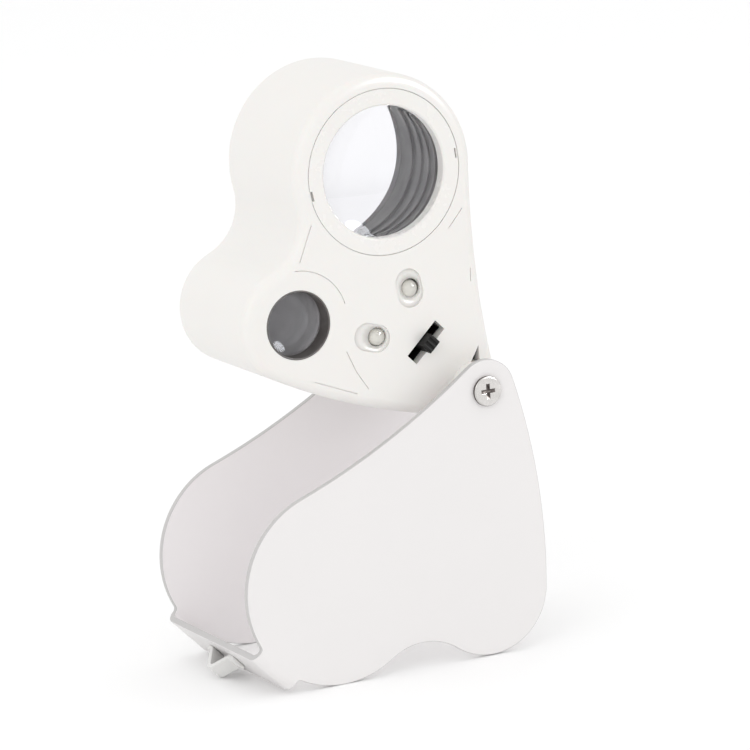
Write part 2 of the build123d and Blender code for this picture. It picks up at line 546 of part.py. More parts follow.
def led(mid, angle):
    """Clear lamp with a round tip, leaning towards its lens."""
    tip = -FACE + LED_SINK
    profile = make_face([Line((0, 0), (LED_FLANGE_R, 0)),
                         Line((LED_FLANGE_R, 0), (LED_FLANGE_R, LED_FLANGE_T)),
                         Line((LED_FLANGE_R, LED_FLANGE_T), (LED_R, LED_FLANGE_T)),
                         Line((LED_R, LED_FLANGE_T), (LED_R, LED_LENGTH - LED_R)),
                         arc((0, LED_LENGTH - LED_R), (LED_R, LED_LENGTH - LED_R), (0, LED_LENGTH), True),
                         Line((0, LED_LENGTH), (0, 0))])
    lamp = revolve(profile, Axis.Y)
    forward = Rot(180, 0, 0) * (Rot(0, 0, -LED_TILT) * lamp)      # tip to the front and to +X
    turned = Rot(0, -angle, 0) * forward                          # +X to the lens
    return turned.moved(Location((mid[0], tip - turned.bounding_box().min.Y, mid[1])))


def large_eye_cup():
    """Cup that stands on the end of the large lens tube, keeps the rear lens in and flares to its rim."""
    collar_r = LARGE_CUP_R - CUP_STEP
    section = Polygon((LARGE_EYE_R, CUP_SEAT), (LARGE_CUP_R, CUP_SEAT), (LARGE_CUP_R, FACE), (collar_r, FACE),
                      (collar_r, EYE_FACE), (collar_r - CUP_RIM, EYE_FACE), align=None)
    cup = revolve(section, Axis.Y).moved(Location((LARGE[0], 0, LARGE[1])))
    return fillet(min(edges_at(cup, EYE_FACE), key=lambda e: e.radius), CUP_ROUND)


def small_eye_ring():
    """Ring pressed in behind the small rear lens, with a dished eye opening."""
    rim = ring(SMALL, SMALL_LENS_R, SMALL_EYE_R, FACE, EYE_FACE)
    edge = [e for e in rim.edges() if e.geom_type == GeomType.CIRCLE
            and abs(e.radius - SMALL_EYE_R) < 0.01 and abs(e.position_at(0).Y - EYE_FACE) < 0.01]
    return chamfer(edge, EYE_CHAMFER)


def circuit_board():
    plate = Pos(*BOARD_MID) * RectangleRounded(BOARD_W, BOARD_H, BOARD_CORNER_R)
    board = slab(plate, BOARD_FRONT, BOARD_REAR)
    for mid in BOARD_SCREWS:
        board -= rod(mid, BOARD_SCREW_R + BOARD_SCREW_PLAY, BOARD_FRONT - 1, BOARD_REAR + 1)
    for mid, angle in ((LED_LARGE, LARGE_POCKET_ANGLE), (LED_SMALL, SMALL_POCKET_ANGLE)):
        for x, z in lead_places(mid, angle):
            board -= rod((x, z), LEAD / 2 + LEAD_PLAY, BOARD_FRONT - 1, BOARD_REAR + 1)
    return board


def lead_places(mid, angle):
    """Where a lamp's two leads go through the board, square to the way it leans."""
    dx, dz = polar(LEAD_PITCH / 2, angle + 90)
    return ((mid[0] + dx, mid[1] + dz), (mid[0] - dx, mid[1] - dz))


def led_leads():
    leads = []
    for lamp, mid, angle in ((lamps[0], LED_LARGE, LARGE_POCKET_ANGLE),
                             (lamps[1], LED_SMALL, SMALL_POCKET_ANGLE)):
        for x, z in lead_places(mid, angle):
            lead = slab(Pos(x, z) * Rectangle(LEAD, LEAD), BOARD_FRONT - LEAD_FRONT, BOARD_REAR + LEAD_REAR)
            leads.append(lead - lamp)
    return Compound([max(lead.solids(), key=lambda s: s.volume) for lead in leads])


def switch_case():
    case = slab(block(SWITCH_MID, SWITCH_L, SWITCH_W, SWITCH_ANGLE), FRONT_IN, BOARD_FRONT)
    track = block(SWITCH_MID, 2 * SLIDER_TRAVEL + SLIDER_L + 2 * SWITCH_PLAY, SLIDER_W + 2 * SLIDER_PLAY,
                  SWITCH_ANGLE)
    return case - slab(track, FRONT_IN - 1, BOARD_FRONT - SWITCH_WALL)


def switch_slider():
    """Ribbed thumb piece that stands in the case and comes out through the slot in the face."""
    floor = BOARD_FRONT - SWITCH_WALL - SLIDER_PLAY
    top = -FACE - SLIDER_RISE
    stem = slab(block(SWITCH_MID, SLIDER_L, SLIDER_W, SWITCH_ANGLE), top, floor)
    stem = chamfer(edges_at(stem, top), SLIDER_RIB)
    dx, dz = polar(SLIDER_L / 4, SWITCH_ANGLE)
    for way in (-1, 0, 1):
        mid = (SWITCH_MID[0] + way * dx, SWITCH_MID[1] + way * dz)
        stem -= slab(block(mid, SLIDER_RIB, SLIDER_W, SWITCH_ANGLE), top - 1, top + SLIDER_RIB)
    return stem


def battery_cells():
    """Button cells: a wide can with a narrower cap that faces the spring."""
    stack = []
    for k in range(CELLS):
        front = CELL_FRONT + k * CELL_T
        can = rod(CELL_MID, CELL_R, front + CELL_CAP_T, front + CELL_T)
        can = fillet(edges_at(can, front + CELL_T), CELL_ROUND)
        stack.append(can + rod(CELL_MID, CELL_R - CELL_CAP_IN, front, front + CELL_CAP_T))
    return Compound(stack)


def battery_spring():
    """Conical wire spring between the circuit board and the first cell."""
    rise = CELL_FRONT - BOARD_REAR - 2 * SPRING_WIRE_R
    wire = Helix(pitch=rise / SPRING_TURNS, height=rise, radius=SPRING_R, cone_angle=SPRING_CONE)
    profile = Plane(origin=wire @ 0, z_dir=wire % 0) * Circle(SPRING_WIRE_R)
    spring = sweep(profile, path=wire)
    return Pos(CELL_MID[0], BOARD_REAR + SPRING_WIRE_R, CELL_MID[1]) * (Rot(-90, 0, 0) * spring)


def battery_contact():
    """Springy metal strip under the door: it bears on the last cell."""
    plate = rod(CELL_MID, CELL_R - CONTACT_IN, CELL_REAR, FACE - DOOR_T)
    return plate - rod(CELL_MID, CONTACT_HOLE_R, CELL_REAR - 1, FACE)


lamps = (led(LED_LARGE, LARGE_POCKET_ANGLE), led(LED_SMALL, SMALL_POCKET_ANGLE))

# Depth of the front of each lens's edge, front lens first, and of the barrel's ends: each lens
# bears with its crown on the lip in front of it or behind it.
LARGE_EDGES = (BEZEL_SEAT + crown_at(LARGE_VIEW_R, LARGE_LENS_R, LARGE_FRONT_CROWN),
               CUP_SEAT - LARGE_LENS_EDGE - crown_at(LARGE_EYE_R, LARGE_LENS_R, LARGE_REAR_CROWN))
SMALL_EDGES = (SMALL_SEAT + crown_at(SMALL_VIEW_R - SNOUT_WALL, SMALL_LENS_R, SMALL_CROWN),
               FACE - SMALL_LENS_EDGE - crown_at(SMALL_EYE_R, SMALL_LENS_R, SMALL_CROWN))
LARGE_BEARING = crown_at(LARGE_LENS_R - BARREL_WALL, LARGE_LENS_R, LARGE_REAR_CROWN)
SMALL_BEARING = crown_at(SMALL_LENS_R - BARREL_WALL, SMALL_LENS_R, SMALL_CROWN)
LARGE_BARREL = (LARGE_EDGES[0] + LARGE_LENS_EDGE + LARGE_BEARING, LARGE_EDGES[1] - LARGE_BEARING)
SMALL_BARREL = (SMALL_EDGES[0] + SMALL_LENS_EDGE + SMALL_BEARING, SMALL_EDGES[1] - SMALL_BEARING)

parts = {
    "cover_shell": cover_shell(),
    "lanyard_loop": lanyard_loop(),
    "housing": housing(),
    "rear_cover": rear_cover(),
    "rear_cover_screws": Compound([flat_screw(mid, FACE - SMALL_SCREW_HEAD_T, LID_SCREW_LENGTH,
                                              SMALL_SCREW_HEAD_T) for mid in LID_SCREWS]),
    "hinge_bushes": hinge_bushes(),
    "hinge_washers": hinge_washers(),
    "pivot_screws": pivot_screws(),
    "large_lens_bezel": large_lens_bezel(),
    "large_lens_front": lens(LARGE, LARGE_LENS_R, LARGE_LENS_EDGE, (LARGE_FRONT_CROWN, LARGE_REAR_CROWN),
                             LARGE_EDGES[0]),
    "large_lens_barrel": barrel(LARGE, LARGE_LENS_R, *LARGE_BARREL, LARGE_BAFFLES),
    "large_lens_rear": lens(LARGE, LARGE_LENS_R, LARGE_LENS_EDGE, (LARGE_REAR_CROWN, LARGE_REAR_CROWN),
                            LARGE_EDGES[1]),
    "large_eye_cup": large_eye_cup(),
    "small_lens_bush": small_lens_bush(),
    "small_lens_front": lens(SMALL, SMALL_LENS_R, SMALL_LENS_EDGE, (SMALL_CROWN, SMALL_CROWN),
                             SMALL_EDGES[0]),
    "small_lens_barrel": barrel(SMALL, SMALL_LENS_R, *SMALL_BARREL, SMALL_BAFFLES),
    "small_lens_rear": lens(SMALL, SMALL_LENS_R, SMALL_LENS_EDGE, (SMALL_CROWN, SMALL_CROWN),
                            SMALL_EDGES[1]),
    "small_eye_ring": small_eye_ring(),
    "led_large": lamps[0],
    "led_small": lamps[1],
    "led_leads": led_leads(),
    "circuit_board": circuit_board(),
    "circuit_board_screws": Compound([screw(mid, BOARD_SCREW_R, BOARD_SCREW_HEAD_R, BOARD_SCREW_HEAD_T,
                                            BOARD_REAR, BOARD_SCREW_LENGTH, 1) for mid in BOARD_SCREWS]),
    "switch_case": switch_case(),
    "switch_slider": switch_slider(),
    "battery_cells": battery_cells(),
    "battery_spring": battery_spring(),
    "battery_contact": battery_contact(),
    "battery_door": battery_door(),
    "battery_door_screw": flat_screw(DOOR_SCREW, FACE - DOOR_RECESS, DOOR_SCREW_LENGTH, DOOR_RECESS),
}

whole = Compound(list(parts.values())).bounding_box()
stand = Location((-(whole.min.X + whole.max.X) / 2, 0, -parts["cover_shell"].bounding_box().min.Z))
os.makedirs("parts", exist_ok=True)
for name, piece in parts.items():
    placed = piece.moved(stand)
    export_step(placed, f"parts/{name}.step")
    print(name, placed.is_valid, len(placed.solids()), round(placed.volume, 1))
print("hinge pin at", stand.position)
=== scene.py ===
import json
from math import cos, pi, radians, sin, sqrt, tan

import bmesh
import bpy
from mathutils import Matrix, Vector


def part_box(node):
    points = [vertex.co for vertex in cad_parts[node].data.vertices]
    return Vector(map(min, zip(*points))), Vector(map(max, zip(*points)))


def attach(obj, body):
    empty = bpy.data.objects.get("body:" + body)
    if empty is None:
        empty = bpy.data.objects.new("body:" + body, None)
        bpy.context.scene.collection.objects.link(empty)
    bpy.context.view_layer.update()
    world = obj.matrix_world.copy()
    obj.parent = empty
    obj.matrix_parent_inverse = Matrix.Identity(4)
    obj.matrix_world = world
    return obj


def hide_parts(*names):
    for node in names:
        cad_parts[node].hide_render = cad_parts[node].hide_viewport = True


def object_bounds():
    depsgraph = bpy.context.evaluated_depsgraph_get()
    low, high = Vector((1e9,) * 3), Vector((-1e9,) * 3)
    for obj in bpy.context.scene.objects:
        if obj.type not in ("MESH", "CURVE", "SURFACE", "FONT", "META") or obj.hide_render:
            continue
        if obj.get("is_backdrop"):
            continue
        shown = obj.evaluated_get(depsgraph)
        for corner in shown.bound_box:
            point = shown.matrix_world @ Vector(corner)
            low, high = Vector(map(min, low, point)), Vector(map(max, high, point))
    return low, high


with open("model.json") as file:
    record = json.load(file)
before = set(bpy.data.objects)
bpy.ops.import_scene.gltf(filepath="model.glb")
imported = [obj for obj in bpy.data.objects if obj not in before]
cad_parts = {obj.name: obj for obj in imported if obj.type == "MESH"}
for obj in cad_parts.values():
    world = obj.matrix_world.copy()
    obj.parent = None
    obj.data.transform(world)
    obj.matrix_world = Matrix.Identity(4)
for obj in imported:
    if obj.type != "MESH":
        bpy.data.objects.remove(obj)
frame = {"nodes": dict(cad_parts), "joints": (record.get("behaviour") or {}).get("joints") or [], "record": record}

cad_low, cad_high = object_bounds()
nodes = frame["nodes"]
HINGE = Vector(frame["joints"][0]["pos_m"])


# ------------------------------------------------------------------ camera
# A long lens a little under a metre away, at the left front and slightly above, held nearly level.

CAMERA_AT = Vector((-0.334196, -0.698768, 0.208969))
YAW, PITCH, ROLL = 0.453349, 0.208725, -0.065384

ahead = Vector((sin(YAW) * cos(PITCH), cos(YAW) * cos(PITCH), -sin(PITCH)))
across = Vector((cos(YAW), -sin(YAW), 0))
upward = across.cross(ahead)
right = across * cos(ROLL) + upward * sin(ROLL)
top = upward * cos(ROLL) - across * sin(ROLL)
camera = bpy.data.objects.new("camera", bpy.data.cameras.new("camera"))
camera.data.lens, camera.data.sensor_width = 240, 36
camera.data.clip_start, camera.data.clip_end = 0.01, 20
camera.matrix_world = Matrix((
    (right.x, top.x, -ahead.x, CAMERA_AT.x),
    (right.y, top.y, -ahead.y, CAMERA_AT.y),
    (right.z, top.z, -ahead.z, CAMERA_AT.z),
    (0, 0, 0, 1)))
bpy.context.scene.collection.objects.link(camera)
bpy.context.scene.camera = camera


# ------------------------------------------------------------------ cover
# One steel sheet, blanked with two lobes, bent twice into a U round the lens head and powder
# coated white. Tumbling broke its blanked edges, and the edge faces of the sheet are coloured a
# dull grey.

SHEET_BREAK = 0.00012
# The inside colour is a lighter copy of the same coat: painted light for the hollow between the plates.
COAT_OUTSIDE, COAT_INSIDE_PAINTED_LIGHT = (0.78, 0.762, 0.757, 1), (0.86, 0.832, 0.838, 1)
COAT_THIN = (0.62, 0.60, 0.60, 1)
# Grey for the edge faces of the sheet, and a lighter grey where they are rubbed.
EDGE_GREY, CUT_LIGHT = (0.53, 0.52, 0.515, 1), (0.72, 0.705, 0.70, 1)
BRIDGE_REACH = 0.0543          # from the hinge pin to where the bends begin
COAT_ROUGH = 0.42
COAT_PEEL = 0.0000022


def shader_group(name, inputs, outputs):
    """An empty node group with these sockets, as (kind, name, value)."""
    tree = bpy.data.node_groups.new(name, "ShaderNodeTree")
    for kind, label, value in inputs:
        socket = tree.interface.new_socket(label, in_out="INPUT", socket_type="NodeSocket" + kind)
        if value is not None:
            socket.default_value = value
    for kind, label in outputs:
        tree.interface.new_socket(label, in_out="OUTPUT", socket_type="NodeSocket" + kind)
    return tree, tree.nodes.new("NodeGroupInput").outputs, tree.nodes.new("NodeGroupOutput").inputs


def add(tree, kind, values=None, **settings):
    """A node with its settings, and its inputs set to a value or linked from a socket."""
    node = tree.nodes.new("ShaderNode" + kind)
    for key, value in settings.items():
        setattr(node, key, value)
    for key, value in (values or {}).items():
        if isinstance(value, bpy.types.NodeSocket):
            tree.links.new(value, node.inputs[key])
        else:
            node.inputs[key].default_value = value
    return node


def maths(tree, operation, *values, clamp=False):
    return add(tree, "Math", dict(enumerate(values)), operation=operation, use_clamp=clamp).outputs[0]


def mixed(tree, amount, one, two):
    """one at amount 0, two at amount 1."""
    return add(tree, "Mix", {0: amount, 6: one, 7: two}, data_type="RGBA").outputs[2]


# Where a coat or a moulding is rubbed: its outer edges, broken up by a noise.
worn, given, out = shader_group(
    "worn_edges", [("Color", "Finish", None), ("Color", "Bare", None), ("Float", "Reach", 0.0002),
                   ("Float", "Amount", 0.5), ("Float", "Patch Scale", 700.0)],
    [("Color", "Color"), ("Float", "Mask")])
place = add(worn, "TexCoord").outputs["Object"]
rounded = add(worn, "Bevel", {"Radius": given["Reach"]}, samples=4).outputs[0]
flat = add(worn, "NewGeometry").outputs["Normal"]
same = add(worn, "VectorMath", {0: rounded, 1: flat}, operation="DOT_PRODUCT").outputs["Value"]
at_edge = maths(worn, "MULTIPLY", maths(worn, "SUBTRACT", 1.0, same), 6.0, clamp=True)
patches = add(worn, "TexNoise",
              {"Vector": place, "Scale": given["Patch Scale"], "Detail": 4.0}).outputs[0]
patchy = add(worn, "MapRange", {0: patches, 1: 0.35, 2: 0.65}).outputs[0]
rubbed = maths(worn, "MULTIPLY", maths(worn, "MULTIPLY", at_edge, patchy), given["Amount"],
               clamp=True)
worn.links.new(mixed(worn, rubbed, given["Finish"], given["Bare"]), out["Color"])
worn.links.new(rubbed, out["Mask"])

# Surface of a sprayed coat: shallow rounded waves and a finer grain, as a height in metres.
peel, given, out = shader_group(
    "coat_waves", [("Float", "Wave Scale", 900.0), ("Float", "Grain Scale", 6000.0),
                   ("Float", "Depth", 0.000002)],
    [("Float", "Height")])
place = add(peel, "TexCoord").outputs["Object"]
waves = add(peel, "TexNoise", {"Vector": place, "Scale": given["Wave Scale"], "Detail": 1.0}).outputs[0]
grain = add(peel, "TexNoise", {"Vector": place, "Scale": given["Grain Scale"], "Detail": 2.0}).outputs[0]
both = maths(peel, "ADD", waves, maths(peel, "MULTIPLY", grain, 0.35))
peel.links.new(maths(peel, "MULTIPLY", both, given["Depth"]), out["Height"])

# Handling: a roughness that drifts with fingermarks and light polishing.
handled, given, out = shader_group(
    "handling", [("Float", "Roughness", 0.4), ("Float", "Spread", 0.08), ("Float", "Scale", 120.0)],
    [("Float", "Roughness"), ("Float", "Mask")])
place = add(handled, "TexCoord").outputs["Object"]
broad = add(handled, "TexNoise",
            {"Vector": place, "Scale": given["Scale"], "Detail": 3.0, "Distortion": 0.6}).outputs[0]
fine = add(handled, "TexNoise", {"Vector": place, "Detail": 2.0,
                                 "Scale": maths(handled, "MULTIPLY", given["Scale"], 9.0)}).outputs[0]
marks = maths(handled, "SUBTRACT", maths(handled, "ADD", maths(handled, "MULTIPLY", broad, 0.7),
                                         maths(handled, "MULTIPLY", fine, 0.3)), 0.5)
drift = maths(handled, "MULTIPLY", marks, maths(handled, "MULTIPLY", given["Spread"], 4.0))
handled.links.new(maths(handled, "ADD", given["Roughness"], drift, clamp=True), out["Roughness"])
handled.links.new(maths(handled, "ADD", marks, 0.5, clamp=True), out["Mask"])

# Faint unevenness of a colour.
uneven, given, out = shader_group(
    "uneven_tone", [("Color", "Color", None), ("Color", "Other", None), ("Float", "Amount", 0.3),
                    ("Float", "Scale", 60.0)], [("Color", "Color")])
place = add(uneven, "TexCoord").outputs["Object"]
clouds = add(uneven, "TexNoise", {"Vector": place, "Scale": given["Scale"], "Detail": 5.0}).outputs[0]
spread = add(uneven, "MapRange", {0: clouds, 1: 0.35, 2: 0.7}).outputs[0]
cloudy = maths(uneven, "MULTIPLY", spread, given["Amount"])
uneven.links.new(mixed(uneven, cloudy, given["Color"], given["Other"]), out["Color"])


def use(tree, group, **values):
    """A group placed in a material with its own values."""
    node = tree.nodes.new("ShaderNodeGroup")
    node.node_tree = group
    for key, value in values.items():
        label = key.replace("_", " ").title()
        if isinstance(value, bpy.types.NodeSocket):
            tree.links.new(value, node.inputs[label])
        else:
            node.inputs[label].default_value = value
    return node.outputs


def finish_of(name, **values):
    """A new material: its tree, and its Principled shader with these plain values."""
    made = bpy.data.materials.new(name)
    made.use_nodes = True
    shader = made.node_tree.nodes["Principled BSDF"]
    for key, value in values.items():
        shader.inputs[key.replace("_", " ").title().replace("Ior", "IOR")].default_value = value
    return made, made.node_tree, shader


def feed(tree, shader, colour=None, rough=None, height=None, strength=1.0):
    """Links what changes over the surface to the shader."""
    if colour is not None:
        tree.links.new(colour, shader.inputs["Base Color"])
    if rough is not None:
        tree.links.new(rough, shader.inputs["Roughness"])
    if height is not None:
        bump = add(tree, "Bump", {"Height": height, "Strength": strength, "Distance": 1.0})
        tree.links.new(bump.outputs[0], shader.inputs["Normal"])


def coat(name, white, thin, rough, depth, wear):
    made, tree, shader = finish_of(name)
    tone = use(tree, uneven, color=white, other=[v * 0.975 for v in white[:3]] + [1],
               amount=0.6, scale=45.0)
    edges = use(tree, worn, finish=tone["Color"], bare=thin, reach=SHEET_BREAK, amount=wear,
                patch_scale=420.0)
    touch = use(tree, handled, roughness=rough, spread=0.05, scale=90.0)
    skin = use(tree, peel, wave_scale=1100.0, grain_scale=7000.0, depth=depth)
    feed(tree, shader, edges["Color"], touch["Roughness"], skin["Height"])
    return made


def copy_of(node):
    """A CAD node's shape as one closed mesh, its flat faces whole again."""
    shape = bmesh.new()
    shape.from_mesh(nodes[node].data)
    bmesh.ops.remove_doubles(shape, verts=shape.verts, dist=1e-6)
    bmesh.ops.dissolve_limit(shape, angle_limit=radians(0.4), verts=shape.verts, edges=shape.edges)
    bmesh.ops.dissolve_degenerate(shape, dist=2e-6, edges=shape.edges)
    return shape


def break_edges(shape, width, steps=2, least=30):
    """Bevels every edge that turns by more than least degrees."""
    sharp = [e for e in shape.edges if len(e.link_faces) == 2 and e.calc_face_angle() > radians(least)]
    bmesh.ops.bevel(shape, geom=sharp, offset=width, offset_type="OFFSET", affect="EDGES",
                    segments=steps, profile=0.5, material=-1, clamp_overlap=True)


def piece(name, shape, material, body, slot, *stands_for):
    """Makes the mesh an object at the origin, riding on its body in place of its CAD nodes."""
    for face in shape.faces:
        face.smooth = True
    mesh = bpy.data.meshes.new(name)
    shape.to_mesh(mesh)
    shape.free()
    made = bpy.data.objects.new(name, mesh)
    bpy.context.scene.collection.objects.link(made)
    mesh.materials.append(material)
    even = made.modifiers.new("even shading", "WEIGHTED_NORMAL")
    even.keep_sharp, even.weight = True, 80
    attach(made, body)
    if stands_for:
        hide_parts(*stands_for)
    return made


cover_coat = coat("cover_coat", COAT_OUTSIDE, COAT_THIN, COAT_ROUGH, COAT_PEEL, 0.3)
inner_coat_painted_light = coat("inner_coat_painted_light", COAT_INSIDE_PAINTED_LIGHT, COAT_THIN, COAT_ROUGH, COAT_PEEL, 0.2)
edge_grey = coat("edge_grey", EDGE_GREY, CUT_LIGHT, 0.45, COAT_PEEL, 0.8)
outwards = Vector((0, 1, 0)).cross(Vector(frame["record"]["mounts"][2]["axis"]))
shape = copy_of("cover_shell")
break_edges(shape, SHEET_BREAK)
# Edge faces take the grey edge colour; faces that look inwards take the lighter inside coat, which is painted
# light.
for face in shape.faces:
    at = face.calc_center_median()
    on_bridge = (at - HINGE).dot(outwards) > BRIDGE_REACH and abs(face.normal.cross(outwards).y) < 0.5
    if abs(face.normal.y) < 0.95 and not on_bridge:
        face.material_index = 1
    elif face.normal.y * at.y < 0 or (on_bridge and face.normal.dot(outwards) < -0.5):
        face.material_index = 2
cover = piece("cover", shape, cover_coat, "cover", "cover_paint", "cover_shell")
cover.data.materials.append(edge_grey)
cover.data.materials.append(inner_coat_painted_light)


# ------------------------------------------------------------------ lanyard loop
# A short steel strip folded into an arch and spot welded under the bridge of the cover. It has
# the same coat, a little greyer where the cord rubs it.

LOOP_BREAK = 0.00012
loop_coat = coat("loop_coat", (0.74, 0.735, 0.72, 1), (0.42, 0.41, 0.40, 1), 0.38, COAT_PEEL, 0.8)
shape = copy_of("lanyard_loop")
break_edges(shape, LOOP_BREAK)
piece("cord_loop", shape, loop_coat, "cover", "loop_steel", "lanyard_loop")


# ------------------------------------------------------------------ lens head: housing and rear cover
# Injection mouldings in warm white plastic. The front one is the face, the outer wall and the
# lens tubes; the rear one is a lid. The battery door is of the same plastic. The mould was spark
# eroded, so the faces have a fine even grain.

PLASTIC_WHITE, PLASTIC_SHADE = (0.815, 0.80, 0.775, 1), (0.80, 0.775, 0.745, 1)
PLASTIC_ROUGH = 0.36


def dress(node, material):
    """Gives a CAD node its finish."""
    mesh = nodes[node].data
    mesh.materials.clear()
    mesh.materials.append(material)


def moulded(name, colour, shade, rough, depth, **values):
    made, tree, shader = finish_of(name, **values)
    tone = use(tree, uneven, color=colour, other=shade, amount=0.55, scale=38.0)
    edges = use(tree, worn, finish=tone["Color"], bare=[min(1, v * 1.05) for v in colour[:3]] + [1],
                reach=0.00015, amount=0.5, patch_scale=600.0)
    touch = use(tree, handled, roughness=rough, spread=0.05, scale=110.0)
    skin = use(tree, peel, wave_scale=2600.0, grain_scale=9000.0, depth=depth)
    feed(tree, shader, edges["Color"], touch["Roughness"], skin["Height"])
    return made


head_plastic = moulded("head_plastic", PLASTIC_WHITE, PLASTIC_SHADE, PLASTIC_ROUGH, 0.0000016,
                       subsurface_weight=0.06, subsurface_scale=0.0006)
for node in ("housing", "rear_cover", "battery_door"):
    dress(node, head_plastic)


# ------------------------------------------------------------------ bezel, eye cup and eye ring
# Smoother turned pieces of the same plastic: the bezel drops into the face over the large lens and
# has a step on each side for the tool that turns it; the eye cup stands on the large lens tube and
# flares to its rim, the eye ring is pressed in behind the small rear lens.

BEZEL_BREAK = 0.00018
GROOVE, GROOVE_FLOOR, GROOVE_END = 0.00013, 0.00022, 0.0006   # half width, and two depths
ring_plastic = moulded("ring_plastic", (0.825, 0.81, 0.785, 1), (0.81, 0.79, 0.76, 1), 0.26, 0.0000007,
                       subsurface_weight=0.06, subsurface_scale=0.0006)


def turned(centre, profile, steps=128):
    """A lathe-turned shape: (radius, depth) points in order round the section, spun about the
    axis that runs front to back through the centre."""
    shape = bmesh.new()
    points = [shape.verts.new((centre.x + radius, depth, centre.z)) for radius, depth in profile]
    closed = profile[0][0] > 1e-9
    for one, two in zip(points, points[1:] + points[:1] if closed else points[1:]):
        shape.edges.new((one, two))
    bmesh.ops.spin(shape, geom=shape.verts[:] + shape.edges[:], cent=(centre.x, 0, centre.z),
                   axis=(0, 1, 0), angle=2 * pi, steps=steps, use_merge=True)
    bmesh.ops.remove_doubles(shape, verts=shape.verts, dist=1e-7)
    bmesh.ops.recalc_face_normals(shape, faces=shape.faces)
    return shape


RINGS = (("large_lens_bezel", "bezel"), ("large_eye_cup", "eye_cup"), ("small_eye_ring", "eye_ring"))
for node, name in RINGS:
    shape = copy_of(node)
    break_edges(shape, BEZEL_BREAK)
    if name == "bezel":                           # the flash that closes the groove round it
        low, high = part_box(node)
        edge = (high.x - low.x) / 2
        inside, outside = edge - GROOVE, edge + GROOVE
        floor_at, end_at = low.y + GROOVE_FLOOR, low.y + GROOVE_END
        flash = turned((low + high) / 2, [(inside, floor_at), (outside, floor_at),
                                          (outside, end_at), (inside, end_at)])
        mesh = bpy.data.meshes.new("flash")
        flash.to_mesh(mesh)
        flash.free()
        shape.from_mesh(mesh)
    piece(name, shape, ring_plastic, "lens_head", "bezel_abs", node)


# ------------------------------------------------------------------ barrels and bush
# Black plastic tubes between the lenses. Stop rings turned inside them catch the light that comes
# in at a slant; the bush lines the hole in front of the small lens.

def blackened(name, colour, patches, scale):
    made, tree, shader = finish_of(name, specular_ior_level=0.45)
    tone = use(tree, uneven, color=colour, other=patches, amount=0.9, scale=scale)
    edges = use(tree, worn, finish=tone["Color"], bare=(0.30, 0.29, 0.285, 1), reach=0.00012, amount=0.7,
                patch_scale=900.0)
    touch = use(tree, handled, roughness=0.42, spread=0.08, scale=400.0)
    skin = use(tree, peel, wave_scale=4000.0, grain_scale=12000.0, depth=0.0000012)
    feed(tree, shader, edges["Color"], touch["Roughness"], skin["Height"])
    return made


barrel_black = blackened("barrel_black", (0.14, 0.13, 0.126, 1), (0.30, 0.28, 0.27, 1), 220.0)
bush_black = blackened("bush_black", (0.10, 0.09, 0.086, 1), (0.16, 0.148, 0.142, 1), 300.0)
# A grey copy of the black with big light patches: painted reflection in the small lens, not the tube's own colour.
barrel_grey_painted_reflection = blackened("barrel_grey_painted_reflection", (0.27, 0.25, 0.25, 1), (0.62, 0.59, 0.59, 1), 190.0)


def middle(node):
    """Middle of a CAD node's box."""
    low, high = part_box(node)
    return (low + high) / 2


BARREL_BREAK, SMALL_TUBE_WALL = 0.00008, 0.00055
for node, material in (("large_lens_barrel", barrel_black), ("small_lens_bush", bush_black)):
    shape = copy_of(node)
    break_edges(shape, BARREL_BREAK)
    piece(node.replace("_lens", ""), shape, material, "lens_head", "barrel_black", node)

# The small barrel is a thin tube in that grey copy, whose light patches are painted reflection.
low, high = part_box("small_lens_barrel")
outer = (high.x - low.x) / 2
inner = outer - SMALL_TUBE_WALL
shape = turned(middle("small_lens_barrel"),
               [(outer, low.y), (inner, low.y), (inner, high.y), (outer, high.y)])
break_edges(shape, BARREL_BREAK)
piece("small_barrel", shape, barrel_grey_painted_reflection, "lens_head", "barrel_black", "small_lens_barrel")


# ------------------------------------------------------------------ lenses
# Two polished glass lenses behind each hole, with a thin coating that gives their glints a cool
# tint. Each has a ground edge with a small chamfer.

LENS_CHAMFER = 0.00015
lens_glass, tree, shader = finish_of(
    "lens_glass", base_color=(0.985, 0.985, 1.0, 1), transmission_weight=1.0, ior=1.5,
    specular_tint=(0.93, 0.95, 1.0, 1))
wiped = use(tree, handled, roughness=0.004, spread=0.003, scale=260.0)
feed(tree, shader, rough=wiped["Roughness"])


def ground_lens(node, name, front_crown, rear_crown, rings=14):
    low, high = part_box(node)
    radius = (high.x - low.x) / 2
    front, rear = low.y + front_crown, high.y - rear_crown

    def sag(r, crown):
        ball = (radius**2 + crown**2) / (2 * crown)
        return sqrt(ball**2 - r**2) - (ball - crown)

    flat_to = radius - LENS_CHAMFER
    reach = [flat_to * k / rings for k in range(rings + 1)]
    profile = [(r, front - sag(r, front_crown)) for r in reach]
    profile += [(radius, front + LENS_CHAMFER), (radius, rear - LENS_CHAMFER)]
    profile += [(r, rear + sag(r, rear_crown)) for r in reversed(reach)]
    return piece(name, turned(middle(node), profile), lens_glass, "lens_head", "lens_glass", node)


ground_lens("large_lens_front", "large_front_lens", 0.0013, 0.0009)
ground_lens("large_lens_rear", "large_rear_lens", 0.0009, 0.0009)
ground_lens("small_lens_front", "small_front_lens", 0.0009, 0.0009)
ground_lens("small_lens_rear", "small_rear_lens", 0.0009, 0.0009)


# ------------------------------------------------------------------ lamps
# Two 3 mm lamps of clear cast resin that lean towards their lenses. Inside each are two flat
# leads; one carries a small cup filled with pale yellow phosphor.

